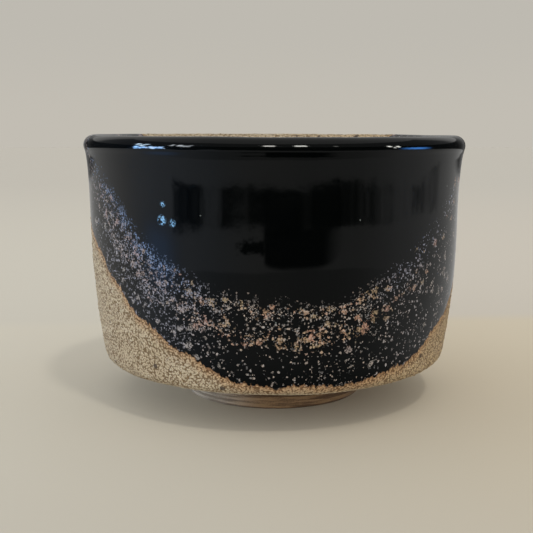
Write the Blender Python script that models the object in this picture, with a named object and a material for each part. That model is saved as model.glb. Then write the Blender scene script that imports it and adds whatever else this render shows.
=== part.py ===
"""A wheel-thrown matcha bowl: thrown clay body, foot ring and the coats of glaze it was dipped in.

Metres, +Z up. The origin is the middle of the foot, on the surface that the bowl stands on, and -Y is the
side where the dark glaze hangs lowest. Every piece is turned from one outline of the finished surface,
so the coats fit the clay and each other at any size.
"""

import math

import bmesh
import bpy
import numpy as np
from mathutils import Matrix, Vector

# Overall sizes.
RIM_DIAMETER = 0.120
HEIGHT = 0.082

# Wall: diameters where it leaves the lower corner and at the belly, and its outward lean at three heights.
BASE_DIAMETER = 0.1099
BELLY_DIAMETER = 0.1165
BELLY_HEIGHT = 0.050
BASE_LEAN = 0.15
BELLY_LEAN = 0.02
NECK_LEAN = 0.13
WALL_THICKNESS = 0.0055

# Lip: a rounded bead, which stands a little proud of the neck under it.
LIP_THICKNESS = 0.0060
LIP_PROUD = 0.0007
LIP_START = math.radians(-30)

# Underside, from the foot out to the rounded lower corner.
UNDERSIDE_HEIGHT = 0.0079
UNDERSIDE_RISE = math.radians(8.4)
CORNER_RADIUS = 0.0045

# Inside: the floor, dished towards its middle, and the bend between floor and wall.
FLOOR_THICKNESS = 0.0060
FLOOR_DISH = 0.0012
FLOOR_BEND_RADIUS = 0.015

# Foot ring, slightly wider where it joins the bowl.
FOOT_DIAMETER = 0.0568
FOOT_FLARE = 0.0005
FOOT_WIDTH = 0.0070
FOOT_EDGE = 0.0006

# Coats of glaze, and the gap kept between touching pieces.
GLAZE_THICKNESS = 0.0008
LINER_DROP = 0.0027
GAP = 0.0003

# The two dips. The bowl was tilted in the bath, so each line lies on a sloping plane: its height on the
# axis, its slope, and the bearing of its lowest point, measured from -Y towards +X.
FIRST_DIP_HEIGHT = 0.0595
FIRST_DIP_SLOPE = math.radians(38.3)
FIRST_DIP_BEARING = math.radians(13)
SECOND_DIP_HEIGHT = 0.1026
SECOND_DIP_SLOPE = math.radians(47.2)
SECOND_DIP_BEARING = math.radians(4.4)

# Fineness of the turned shapes.
SIDES = 48
CORNER_STEPS = 4
WALL_STEPS = 5
LIP_STEPS = 7
BEND_STEPS = 6
FLOOR_STEPS = 2
LEAN_STEP = 0.001
MERGE = 0.000001
SHARP_ANGLE = math.radians(40)

# The block that stands for the bath, as a number of times the bowl's largest size.
BATH_SCALE = 4

FOOT_RADIUS = FOOT_DIAMETER / 2
LIP_RADIUS = LIP_THICKNESS / 2
COAT = GLAZE_THICKNESS + GAP

# Linear colour, roughness.
FINISHES = {
    "clay": ((0.36, 0.26, 0.17), 0.85),
    "cream_glaze": ((0.42, 0.28, 0.14), 0.70),
    "speckled_black_glaze": ((0.045, 0.040, 0.045), 0.25),
    "gloss_black_glaze": ((0.010, 0.011, 0.013), 0.08),
}


def arc(centre, radius, start, end, steps):
    """Points on a circle from one angle to another, both ends included."""
    angles = np.linspace(start, end, steps + 1)
    return np.column_stack((centre[0] + radius * np.cos(angles), centre[1] + radius * np.sin(angles)))


def hermite(z, low, high):
    """Radius at height z on the cubic from low to high, each a (height, radius, lean)."""
    span = high[0] - low[0]
    t = (z - low[0]) / span
    return (
        (1 - 3 * t**2 + 2 * t**3) * low[1]
        + (3 * t**2 - 2 * t**3) * high[1]
        + span * (t * (1 - t) ** 2 * low[2] + t**2 * (t - 1) * high[2])
    )


def neck_height():
    """Height of the neck, where the wall ends and the lip's bead begins."""
    return HEIGHT - LIP_THICKNESS


def seat_height():
    """Height of the clay's flat underside, which the foot ring is joined to."""
    return UNDERSIDE_HEIGHT + COAT / math.cos(UNDERSIDE_RISE)


def lower_corner():
    """Centre of the corner arc, its first and last angle, and where it meets the wall (height, radius)."""
    first = UNDERSIDE_RISE - math.pi / 2
    last = -math.atan(BASE_LEAN)
    centre_r = BASE_DIAMETER / 2 - CORNER_RADIUS * math.cos(last)
    bottom_r = centre_r + CORNER_RADIUS * math.cos(first)
    bottom_z = UNDERSIDE_HEIGHT + (bottom_r - FOOT_RADIUS) * math.tan(UNDERSIDE_RISE)
    centre_z = bottom_z - CORNER_RADIUS * math.sin(first)
    return (centre_r, centre_z), first, last, (centre_z + CORNER_RADIUS * math.sin(last), BASE_DIAMETER / 2)


def wall_knots():
    """The wall's base, belly and neck, each a (height, radius, lean)."""
    base = lower_corner()[3]
    return (
        (base[0], base[1], BASE_LEAN),
        (BELLY_HEIGHT, BELLY_DIAMETER / 2, BELLY_LEAN),
        (neck_height(), RIM_DIAMETER / 2 - LIP_PROUD, NECK_LEAN),
    )


def wall_radius(z):
    """Outer radius of the finished wall at each height between its base and its neck."""
    base, belly, neck = wall_knots()
    return np.where(z < belly[0], hermite(z, base, belly), hermite(z, belly, neck))


def outside_outline():
    """Finished surface from the bottom of the lower corner, up the wall and over the lip's crest."""
    centre, first, last, _ = lower_corner()
    base, belly, neck = wall_knots()
    heights = np.concatenate(
        (np.linspace(base[0], belly[0], WALL_STEPS)[1:], np.linspace(belly[0], neck[0], WALL_STEPS)[1:])
    )
    lip_centre = (RIM_DIAMETER / 2 - LIP_RADIUS, HEIGHT - LIP_RADIUS)
    return np.vstack(
        (
            arc(centre, CORNER_RADIUS, first, last, CORNER_STEPS),
            np.column_stack((wall_radius(heights), heights)),
            arc(lip_centre, LIP_RADIUS, LIP_START, math.pi, LIP_STEPS),
        )
    )


def inside_outline():
    """Finished surface from just under the lip, down the inner wall and round the bend to the middle."""
    floor_z = seat_height() + FLOOR_THICKNESS + COAT
    bend_z = floor_z + FLOOR_BEND_RADIUS
    lean = math.atan((wall_radius(bend_z + LEAN_STEP) - wall_radius(bend_z)) / LEAN_STEP)
    join_z = bend_z - FLOOR_BEND_RADIUS * math.sin(lean)
    centre_r = wall_radius(join_z) - WALL_THICKNESS - FLOOR_BEND_RADIUS * math.cos(lean)
    heights = np.linspace(neck_height(), join_z, WALL_STEPS)[:-1]
    across = np.linspace(centre_r, 0, FLOOR_STEPS + 1)[1:]
    return np.vstack(
        (
            np.column_stack((wall_radius(heights) - WALL_THICKNESS, heights)),
            arc((centre_r, bend_z), FLOOR_BEND_RADIUS, -lean, -math.pi / 2, BEND_STEPS),
            np.column_stack((across, floor_z - FLOOR_DISH * (1 - (across / centre_r) ** 2))),
        )
    )


def inset(outline, depth):
    """The outline moved into the material by depth, each corner along its mitre; the axis stays put."""
    steps = np.diff(outline, axis=0)
    steps /= np.linalg.norm(steps, axis=1)[:, None]
    inward = np.column_stack((-steps[:, 1], steps[:, 0]))
    before = np.vstack((inward[:1], inward))
    after = np.vstack((inward, inward[-1:]))
    mitre = (before + after) / (1 + np.sum(before * after, axis=1))[:, None]
    moved = outline + depth * mitre
    moved[outline[:, 0] == 0, 0] = 0
    return moved


def crossing(outline, height):
    """First point of a downward outline below a height, as an index, and the point exactly at that height."""
    below = int(np.argmax(outline[:, 1] < height))
    a, b = outline[below - 1], outline[below]
    return below, a + (b - a) * (height - a[1]) / (b[1] - a[1])


def cut_off_below(outline, height):
    """What a downward outline has below a height."""
    below, point = crossing(outline, height)
    return np.vstack((point, outline[below:]))


def cut_off_above(outline, height):
    """What a downward outline has above a height."""
    below, point = crossing(outline, height)
    return np.vstack((outline[:below], point))


def add_object(name, mesh, finish=None):
    """A named object for the mesh, with its own material if a finish is given."""
    thing = bpy.data.objects.new(name, mesh)
    bpy.context.scene.collection.objects.link(thing)
    if finish:
        colour, roughness = FINISHES[finish]
        material = bpy.data.materials.new(name + "_" + finish)
        material.use_nodes = True
        shader = material.node_tree.nodes["Principled BSDF"]
        shader.inputs["Base Color"].default_value = (*colour, 1)
        shader.inputs["Roughness"].default_value = roughness
        shader.inputs["Metallic"].default_value = 0
        mesh.materials.append(material)
    return thing


def turned(name, outline, finish):
    """A closed outline of (radius, height) points, spun round the Z axis into a solid."""
    bm = bmesh.new()
    verts = [bm.verts.new((r, 0, z)) for r, z in outline]
    edges = [
        bm.edges.new((a, b))
        for a, b in zip(verts, verts[1:] + verts[:1])
        if a.co.x > 0 or b.co.x > 0
    ]
    bmesh.ops.spin(bm, geom=verts + edges, cent=(0, 0, 0), axis=(0, 0, 1), angle=math.tau, steps=SIDES)
    bmesh.ops.remove_doubles(bm, verts=bm.verts, dist=MERGE)
    bmesh.ops.dissolve_degenerate(bm, edges=bm.edges, dist=MERGE)
    bmesh.ops.recalc_face_normals(bm, faces=bm.faces)
    mesh = bpy.data.meshes.new(name)
    bm.to_mesh(mesh)
    bm.free()
    mesh.shade_smooth()
    mesh.set_sharp_from_angle(angle=SHARP_ANGLE)
    return add_object(name, mesh, finish)


def bath(name, height, slope, bearing):
    """A block that fills the space above a sloping plane, as the bath did round the tilted bowl."""
    side = BATH_SCALE * max(RIM_DIAMETER, HEIGHT)
    bm = bmesh.new()
    bmesh.ops.create_cube(bm, size=side)
    bmesh.ops.translate(bm, verts=bm.verts, vec=(0, 0, side / 2))
    # Turning about +X by the slope lowers the plane's -Y side; the bearing then swings that side round.
    tilt = Matrix.Rotation(bearing, 4, "Z") @ Matrix.Rotation(slope, 4, "X")
    bmesh.ops.transform(bm, matrix=Matrix.Translation(Vector((0, 0, height))) @ tilt, verts=bm.verts)
    mesh = bpy.data.meshes.new(name)
    bm.to_mesh(mesh)
    bm.free()
    block = add_object(name, mesh)
    block.hide_render = True
    block.display_type = "WIRE"
    return block


def dip(name, height, slope, bearing):
    """Two baths for one dip: its own coat fills the first, and the coat it covers stays out of the second."""
    lower = height - GAP / math.cos(slope)
    return bath(name + "_line", height, slope, bearing), bath(name + "_gap", lower, slope, bearing)


def combine(piece, operation, cutter):
    """Keeps (INTERSECT) or removes (DIFFERENCE) the part of a piece inside the cutter."""
    modifier = piece.modifiers.new(cutter.name, "BOOLEAN")
    modifier.operation = operation
    modifier.solver = "EXACT"
    modifier.object = cutter


def make_clay_body(outside, inside):
    """The thrown body: its skin lies one coat and one gap under the finished surface."""
    seat = seat_height()
    underside = np.array(((0, seat), (FOOT_RADIUS + FOOT_FLARE, seat)))
    skin = inset(np.vstack((outside, inside)), COAT)
    turned("clay_body", np.vstack((underside, skin)), "clay")


def make_foot_ring():
    """The ring the bowl stands on, with its lower edges taken off, one gap under the clay's seat."""
    top = seat_height() - GAP
    outer = FOOT_RADIUS
    inner = FOOT_RADIUS - FOOT_WIDTH
    outline = (
        (inner + FOOT_EDGE, 0),
        (outer - FOOT_EDGE, 0),
        (outer, FOOT_EDGE),
        (outer + FOOT_FLARE, top),
        (inner - FOOT_FLARE, top),
        (inner, FOOT_EDGE),
    )
    turned("foot_ring", np.array(outline), "clay")


def make_coat(name, surface, finish):
    """A coat of glaze one coat thick, under part of the finished surface."""
    return turned(name, np.vstack((surface, inset(surface, GLAZE_THICKNESS)[::-1])), finish)


def liner_top():
    """Height on the inner wall where the liner starts, one gap under the lip's coats."""
    return neck_height() - LINER_DROP


def make_liner(inside):
    """The inner coat, from under the lip's coats down over the floor."""
    make_coat("liner_glaze", cut_off_below(inside, liner_top()), "cream_glaze")


def make_outer_coats(outside, inside):
    """The three outer coats: one shell over wall and lip, parted by the two dip planes."""
    first, first_lower = dip("first_dip", FIRST_DIP_HEIGHT, FIRST_DIP_SLOPE, FIRST_DIP_BEARING)
    second, second_lower = dip("second_dip", SECOND_DIP_HEIGHT, SECOND_DIP_SLOPE, SECOND_DIP_BEARING)
    inner_lip = cut_off_above(inside, liner_top() + GAP)
    surface = np.vstack((outside, inner_lip))

    pale = make_coat("pale_glaze", surface, "cream_glaze")
    combine(pale, "DIFFERENCE", first_lower)
    speckled = make_coat("speckled_glaze", surface, "speckled_black_glaze")
    combine(speckled, "INTERSECT", first)
    combine(speckled, "DIFFERENCE", second_lower)
    gloss = make_coat("gloss_glaze", surface, "gloss_black_glaze")
    combine(gloss, "INTERSECT", second)


def main():
    """Clears the scene and builds the six pieces."""
    for thing in list(bpy.data.objects):
        bpy.data.objects.remove(thing, do_unlink=True)
    outside = outside_outline()
    inside = inside_outline()
    make_clay_body(outside, inside)
    make_foot_ring()
    make_liner(inside)
    make_outer_coats(outside, inside)


main()
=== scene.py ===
# %% [markdown]
# # A matcha bowl, dipped twice in black
#
# The real bowl is stoneware thrown on a wheel: a straight wall, a thick rolled lip, a rounded lower corner
# and a turned foot ring. It wears a rough sandy cream coat. Over that the potter dipped it at a slant in a
# dark glaze, and then dipped the upper front again, so the dark coat is thin and broken by pale flecks in a
# band, and thick and glossy above it.
#
# Everything here is computed on the fixed frame of the measured model.

# %% The measured frame
import math

import bmesh
import bpy
import numpy as np
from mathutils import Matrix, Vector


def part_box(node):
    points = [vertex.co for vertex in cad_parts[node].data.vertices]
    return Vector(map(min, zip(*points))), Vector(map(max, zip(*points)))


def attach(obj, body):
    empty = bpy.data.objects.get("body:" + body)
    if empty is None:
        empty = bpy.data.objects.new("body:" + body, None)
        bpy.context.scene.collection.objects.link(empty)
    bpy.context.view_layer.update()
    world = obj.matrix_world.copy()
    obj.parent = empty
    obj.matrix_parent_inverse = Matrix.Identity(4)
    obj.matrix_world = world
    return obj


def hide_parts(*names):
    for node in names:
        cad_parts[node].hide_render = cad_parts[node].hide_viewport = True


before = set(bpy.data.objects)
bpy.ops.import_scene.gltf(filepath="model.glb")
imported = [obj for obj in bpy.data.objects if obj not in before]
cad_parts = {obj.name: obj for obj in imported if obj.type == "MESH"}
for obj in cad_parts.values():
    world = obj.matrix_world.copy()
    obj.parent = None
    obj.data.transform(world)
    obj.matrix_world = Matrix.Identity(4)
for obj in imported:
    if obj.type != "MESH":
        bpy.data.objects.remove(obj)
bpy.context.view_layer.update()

MM = 0.001


def corners(node):
    """Lowest and highest corner of a node of the model, as two arrays."""
    low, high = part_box(node)
    return np.array(low), np.array(high)


RIM_RADIUS = corners("speckled_glaze")[1][0]
HEIGHT = corners("gloss_glaze")[1][2]
CORNER_BOTTOM = corners("pale_glaze")[0][2]
LINER_TOP = corners("liner_glaze")[1][2]
SEAT_HEIGHT = corners("clay_body")[0][2]
FOOT_RADIUS = corners("foot_ring")[1][0]
print(f"rim {2 * RIM_RADIUS / MM:.1f}, height {HEIGHT / MM:.1f}, foot {2 * FOOT_RADIUS / MM:.1f} mm")

# %% [markdown]
# ## Where the eye is
#
# The bowl is seen from the front, from the length of a forearm and a little above its rim. The distance
# matters as much as the angle, because it changes how much of the lip's oval shows.

# %% The camera


def stand(name, data):
    """A new object of a mesh, lamp or camera, in the scene."""
    thing = bpy.data.objects.new(name, data)
    bpy.context.scene.collection.objects.link(thing)
    return thing


EYE = (-2.4 * MM, -295.2 * MM, 84.1 * MM)
TILT = math.radians(8.6)
LENS = 61.54

camera = bpy.data.cameras.new("eye")
camera.lens = LENS
camera.sensor_width = 36
camera.clip_start = 0.01
viewer = stand("eye", camera)
viewer.location = EYE
viewer.rotation_euler = (math.pi / 2 - TILT, 0, 0)
bpy.context.scene.camera = viewer

# %% [markdown]
# ## Small helpers for node materials
#
# A glaze is a recipe, so each material below is written as one: its ingredients are nodes, and each helper
# adds one. `calc` does sums, `step_up` makes a soft switch, and `blend` mixes two colours by a share.

# %% Helpers for nodes


def recipe(name):
    """An empty node material with one Principled shader, and its tree and shader."""
    material = bpy.data.materials.new(name)
    material.use_nodes = True
    tree = material.node_tree
    shader = tree.nodes["Principled BSDF"]
    return material, tree, shader


def put(socket, value):
    """Sets a socket: from another socket by a link, or from a plain value. A plain colour gets its alpha."""
    if isinstance(value, bpy.types.NodeSocket):
        socket.id_data.links.new(value, socket)
    else:
        socket.default_value = (*value, 1) if socket.type == "RGBA" else value


def fill(made, sockets):
    """Sets inputs of a node by name or number."""
    for key, value in sockets.items():
        put(made.inputs[key], value)


def node(tree, kind, sockets=(), **settings):
    """A node of a kind, with its settings and its inputs."""
    made = tree.nodes.new(kind)
    for key, value in settings.items():
        setattr(made, key, value)
    fill(made, dict(sockets))
    return made


def calc(tree, operation, a, b=0.0, c=0.0):
    """One arithmetic step on sockets or numbers."""
    return node(tree, "ShaderNodeMath", {0: a, 1: b, 2: c}, operation=operation).outputs[0]


def scaled(tree, value, factor, extra):
    """The value times a factor, plus an extra."""
    return calc(tree, "MULTIPLY_ADD", value, factor, extra)


def times(tree, *factors):
    """The product of sockets and numbers."""
    product = factors[0]
    for factor in factors[1:]:
        product = calc(tree, "MULTIPLY", product, factor)
    return product


def step_up(tree, value, low, high):
    """0 below low, 1 above high, and a smooth rise between."""
    sockets = {"Value": value, "From Min": low, "From Max": high}
    return node(tree, "ShaderNodeMapRange", sockets, interpolation_type="SMOOTHSTEP").outputs["Result"]


def step_down(tree, value, low, high):
    """1 below low, 0 above high, and a smooth fall between."""
    return calc(tree, "SUBTRACT", 1.0, step_up(tree, value, low, high))


def blend(tree, share, first, second):
    """Colour first where share is 0 and second where it is 1."""
    return node(tree, "ShaderNodeMix", {0: share, 6: first, 7: second}, data_type="RGBA").outputs[2]


def noise(tree, place, size, detail=2.0, rough=0.5, colour=False):
    """Cloudy noise whose lumps are about size metres wide, read at place."""
    sockets = {"Vector": place, "Scale": 1 / size, "Detail": detail, "Roughness": rough}
    return node(tree, "ShaderNodeTexNoise", sockets).outputs["Color" if colour else "Fac"]


def attribute(tree, name):
    """The value of a mesh attribute by name."""
    return node(tree, "ShaderNodeAttribute", attribute_name=name).outputs["Fac"]


def object_place(tree):
    """The point being shaded, in the object's own metres."""
    return node(tree, "ShaderNodeTexCoord").outputs["Object"]


def xyz(tree, place):
    """The three numbers of a place."""
    return node(tree, "ShaderNodeSeparateXYZ", {0: place}).outputs


def vector(tree, operation, a, b=(0, 0, 0), c=(0, 0, 0), output="Vector"):
    """One step of arithmetic on places."""
    return node(tree, "ShaderNodeVectorMath", {0: a, 1: b, 2: c}, operation=operation).outputs[output]


def relief(tree, shader, height, strength, distance):
    """Makes the surface look as high as height says, up to a distance in metres."""
    bump = node(tree, "ShaderNodeBump", {"Height": height, "Strength": strength, "Distance": distance})
    put(shader.inputs["Normal"], bump.outputs[0])


# %% [markdown]
# ## The studio
#
# A pale table runs back to a pale wall, so far behind that only a soft change of tone shows where one ends.
# Light comes from overhead, a little from the front right, which gives the soft shadow, and from all round
# the room at eye level, brighter and cooler on the left. That low light reaches in under the bowl.

# %% Table
TABLE_RADIUS = 4.0
TABLE_RINGS = (0.2, 0.6, 1.5, TABLE_RADIUS)
TABLE_SPOKES = 96
BACK_FOLD = 0.100
FOLD_WIDTH = 0.022
FOLD_SLANT = -0.06


def tone(red, green, blue):
    """A colour as an eye names it on a screen, 0 to 255, turned into the light it gives back."""
    part = np.array((red, green, blue)) / 255
    light = np.where(part <= 0.04045, part / 12.92, ((part + 0.055) / 1.055) ** 2.4)
    return tuple(float(v) for v in light)


def make_table():
    """A wide flat disc under the bowl. Past a soft line behind the bowl its tone is that of the wall."""
    spokes = TABLE_SPOKES
    rings = np.array(TABLE_RINGS)
    turn = np.linspace(0, math.tau, spokes, endpoint=False)
    around = np.stack((np.cos(turn), np.sin(turn), np.zeros(spokes)), axis=-1)
    points = np.vstack((np.zeros((1, 3)), (rings[:, None, None] * around).reshape(-1, 3)))
    a = np.arange(spokes)
    b = (a + 1) % spokes
    faces = np.column_stack((np.zeros(spokes, int), 1 + a, 1 + b)).tolist()
    for inner in range(1, spokes * (len(rings) - 1), spokes):
        outer = inner + spokes
        faces += np.column_stack((inner + a, outer + a, outer + b, inner + b)).tolist()
    mesh = bpy.data.meshes.new("table")
    mesh.from_pydata(points.tolist(), [], faces)
    table = stand("table", mesh)

    material, tree, shader = recipe("table_paper")
    place = object_place(tree)
    x, y, _ = xyz(tree, place)
    wander = times(tree, noise(tree, place, 0.25, 2), 0.02)
    fold = scaled(tree, x, FOLD_SLANT, calc(tree, "ADD", y, wander))
    behind = step_up(tree, fold, BACK_FOLD, BACK_FOLD + FOLD_WIDTH)
    # Warmer on the right: a painted tint of the warm light from that side, on the near table and its far part
    # alike.
    warm_light_side = step_up(tree, x, -0.10, 0.10)
    near = blend(tree, warm_light_side, TABLE_LEFT, TABLE_RIGHT)
    cloud = noise(tree, place, 0.045, 3)
    near = blend(tree, times(tree, cloud, 0.22), near, TABLE_PATCHES)
    # Darker towards the front: painted shade where the light falls off.
    front = step_up(tree, times(tree, y, -1.0), 0.05, 0.17)
    near = blend(tree, times(tree, front, 0.5), near, TABLE_FRONT_SHADE)
    far = blend(tree, warm_light_side, WALL_LEFT, WALL_RIGHT)
    far = blend(tree, step_up(tree, y, 0.1, 1.2), far, WALL_FAR)
    colour = blend(tree, behind, near, far)
    fill(shader, {"Base Color": colour, "Roughness": 1.0, "Specular IOR Level": 0.0})
    mesh.materials.append(material)


# Left and right tones: those on the right are warmer, a painted tint of the warm light from that side.
TABLE_LEFT, TABLE_RIGHT = tone(190, 186, 175), tone(191, 182, 164)
# Random lighter patches, and the painted shade towards the front.
TABLE_PATCHES, TABLE_FRONT_SHADE = tone(196, 186, 170), tone(172, 168, 160)
WALL_LEFT, WALL_RIGHT, WALL_FAR = tone(188, 184, 174), tone(187, 181, 171), tone(180, 176, 168)
make_table()

# %% Light
SUN_FROM, SUN_COLOUR = (0.27, -0.42, 1.0), (1.0, 0.95, 0.86)
SUN_STRENGTH, SUN_SPREAD = 0.50, math.radians(5)
LOW_LIGHT_LEFT, LOW_LIGHT_RIGHT, OVERHEAD = (3.30, 3.40, 3.50), (2.15, 2.00, 1.78), (0.68, 0.68, 0.67)
BACKDROP_LOW, BACKDROP_HIGH = tone(194, 189, 179), tone(190, 186, 177)
MIRRORED_ROOM = (0.5, 0.5, 0.49)

# The soft light overhead, kept out of the glaze's reflections.
light = bpy.data.lights.new("overhead", "SUN")
light.energy = SUN_STRENGTH
light.angle = SUN_SPREAD
light.color = SUN_COLOUR
lamp = stand("overhead", light)
towards = np.array(SUN_FROM) / np.linalg.norm(SUN_FROM)
lamp.rotation_euler = (math.acos(towards[2]), 0, math.atan2(towards[0], -towards[1]))
lamp.visible_glossy = False

world = bpy.data.worlds.new("room")
world.use_nodes = True
bpy.context.scene.world = world
room = world.node_tree
sky = room.nodes["Background"]
east, _, height = xyz(room, object_place(room))
side = step_up(room, east, -0.8, 0.8)
low_light = blend(room, side, LOW_LIGHT_LEFT, LOW_LIGHT_RIGHT)
room_light = blend(room, step_up(room, height, 0.15, 0.65), low_light, OVERHEAD)
backdrop = blend(room, step_up(room, height, 0.0, 0.115), BACKDROP_LOW, BACKDROP_HIGH)
path = node(room, "ShaderNodeLightPath")
mirrored = blend(room, path.outputs["Is Glossy Ray"], room_light, MIRRORED_ROOM)
fill(sky, {"Color": blend(room, path.outputs["Is Camera Ray"], mirrored, backdrop), "Strength": 1.0})

bpy.context.scene.view_settings.view_transform = "Standard"
bpy.context.scene.view_settings.look = "None"

# %% [markdown]
# ## The outline the wheel gave
#
# A pot is turned from one outline: round the lower corner, up the wall, over the lip, down inside and across
# the floor. It is made of arcs and two cubic stretches, and then smoothed over about a millimetre, because
# melted glaze rounds every crease, above all the one under the lip.

# %% The outline
BASE_RADIUS = 54.95 * MM
BELLY_RADIUS = 58.25 * MM
BELLY_HEIGHT = 50 * MM
LIP_RADIUS = 3.0 * MM
NECK_DROP = 0.7 * MM
WALL = 5.5 * MM
CORNER_RADIUS = 4.5 * MM
UNDERSIDE_RISE = math.radians(8.4)
BASE_LEAN, BELLY_LEAN, NECK_LEAN = 0.15, 0.02, 0.13
FLOOR_HEIGHT = corners("liner_glaze")[0][2] + 2.0 * MM
FLOOR_DISH = 1.2 * MM
BEND_RADIUS = 15 * MM
STEP = 0.1 * MM
LIP_UNDERCUT = math.radians(-30)
POINTS_INTO_LIP = 20
SMOOTHED_POINTS = 11


def arc(centre, radius, start, end):
    """Points on a circle from one angle to another, about a STEP apart."""
    count = max(3, int(abs(end - start) * radius / STEP))
    angle = np.linspace(start, end, count)
    return np.column_stack((centre[0] + radius * np.cos(angle), centre[1] + radius * np.sin(angle)))


def cubic(x, low, high):
    """Value at x on the cubic between two (x, value, slope) knots."""
    span = high[0] - low[0]
    t = (x - low[0]) / span
    return (
        (1 - 3 * t**2 + 2 * t**3) * low[1]
        + (3 * t**2 - 2 * t**3) * high[1]
        + span * (t * (1 - t) ** 2 * low[2] + t**2 * (t - 1) * high[2])
    )


def finished_outline():
    """Even steps along the finished surface, from the corner's bottom to the middle of the floor, and their
    (radius, height) points, each a weighted mean of itself and its neighbours."""
    first, last = UNDERSIDE_RISE - math.pi / 2, -math.atan(BASE_LEAN)
    corner_r = BASE_RADIUS - CORNER_RADIUS * math.cos(last)
    corner_z = CORNER_BOTTOM - CORNER_RADIUS * math.sin(first)
    base = (corner_z + CORNER_RADIUS * math.sin(last), BASE_RADIUS, BASE_LEAN)
    belly = (BELLY_HEIGHT, BELLY_RADIUS, BELLY_LEAN)
    neck = (HEIGHT - 2 * LIP_RADIUS, RIM_RADIUS - NECK_DROP, NECK_LEAN)
    up = np.arange(base[0], neck[0], STEP)
    wall = np.where(up < belly[0], cubic(up, base, belly), cubic(up, belly, neck))
    bend_z = FLOOR_HEIGHT + BEND_RADIUS
    down = up[up > bend_z][::-1]
    inner = np.interp(down, up, wall) - WALL
    bend_r = inner[-1] - BEND_RADIUS
    across = np.arange(bend_r, 0, -STEP)
    rough = np.vstack(
        (
            arc((corner_r, corner_z), CORNER_RADIUS, first, last),
            np.column_stack((wall, up))[1:],
            arc((RIM_RADIUS - LIP_RADIUS, HEIGHT - LIP_RADIUS), LIP_RADIUS, LIP_UNDERCUT, math.pi),
            np.column_stack((inner, down))[POINTS_INTO_LIP:],
            arc((bend_r, bend_z), BEND_RADIUS, 0, -math.pi / 2)[1:],
            np.column_stack((across, FLOOR_HEIGHT - FLOOR_DISH * (1 - (across / bend_r) ** 2)))[1:],
            ((0.0, FLOOR_HEIGHT - FLOOR_DISH),),
        )
    )
    along = np.concatenate(((0,), np.cumsum(np.linalg.norm(np.diff(rough, axis=0), axis=1))))
    even = np.linspace(0, along[-1], int(along[-1] / STEP))
    line = np.column_stack([np.interp(even, along, rough[:, i]) for i in (0, 1)])
    width = SMOOTHED_POINTS
    half = width // 2
    padded = np.vstack((2 * line[0] - line[half:0:-1], line, 2 * line[-1] - line[-2:-2 - half:-1]))
    kernel = np.hanning(width + 2)[1:-1]
    kernel /= kernel.sum()
    smooth = np.column_stack([np.convolve(padded[:, i], kernel, "valid") for i in (0, 1)])
    return even, smooth


ALONG, OUTLINE = finished_outline()
slope = np.gradient(OUTLINE, ALONG, axis=0)
slope /= np.linalg.norm(slope, axis=1)[:, None]
OUTWARD = np.column_stack((slope[:, 1], -slope[:, 0]))
CREST = ALONG[np.argmax(OUTLINE[:, 1])]
COATS_END = ALONG[(ALONG > CREST) & (OUTLINE[:, 1] < LINER_TOP)][0]
print(f"outline {ALONG[-1] / MM:.1f} mm, crest at {CREST / MM:.1f}, lip coats end at {COATS_END / MM:.1f}")

# %% [markdown]
# ## What a hand leaves in the clay
#
# Slow unevenness, faint rings from the fingers and a rim that dips a fraction of a millimetre are what make
# it a pot and not a pipe. They come from sheets of noise wrapped round the bowl: random numbers of a fixed
# seed, with only lumps of one size let through.

# %% Sheets of noise, and a point on the thrown surface
CELLS_ROUND, CELLS_ALONG = 1536, 864
CELL = math.tau * 58 * MM / CELLS_ROUND


def lumps(seed, size, spread=0.35):
    """Relief of unit strength that wraps round the bowl: the waves of white noise about size metres long."""
    chance = np.random.default_rng(seed)
    white = chance.standard_normal((CELLS_ALONG, CELLS_ROUND))
    beat = np.hypot(np.fft.fftfreq(CELLS_ALONG, CELL)[:, None], np.fft.rfftfreq(CELLS_ROUND, CELL)[None, :])
    beat[0, 0] = 1e-6
    let_through = np.exp(-np.log(beat * size) ** 2 / (2 * spread**2))
    field = np.fft.irfft2(np.fft.rfft2(white) * let_through, white.shape)
    return field / field.std()


def read(sheet, turn, along):
    """A sheet's value at each turn (radians) and distance along the outline, shared between its cells."""
    u = turn / math.tau * CELLS_ROUND
    v = along / CELL
    u0, v0 = np.floor(u).astype(int), np.floor(v).astype(int)
    fu, fv = u - u0, v - v0
    u1, v1 = (u0 + 1) % CELLS_ROUND, (v0 + 1) % CELLS_ALONG
    u0, v0 = u0 % CELLS_ROUND, v0 % CELLS_ALONG
    return (
        sheet[v0, u0] * (1 - fu) * (1 - fv)
        + sheet[v0, u1] * fu * (1 - fv)
        + sheet[v1, u0] * (1 - fu) * fv
        + sheet[v1, u1] * fu * fv
    )


SLOW = lumps(11, 42 * MM)
MIDDLE = lumps(12, 14 * MM)
GRIT = lumps(13, 1.9 * MM, 0.30)
FRAY = lumps(14, 2.6 * MM, 0.55)


SLOW_PUSH, MIDDLE_PUSH, RING_PUSH = 0.05 * MM, 0.004 * MM, 0.0015 * MM
RING_SPACINGS = 6.1 * MM, 9.7 * MM
RIM_SWAY, SWAY_BEARING = 0.24 * MM, 0.96
OVAL, OVAL_BEARING = 0.0012, 0.7


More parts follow.
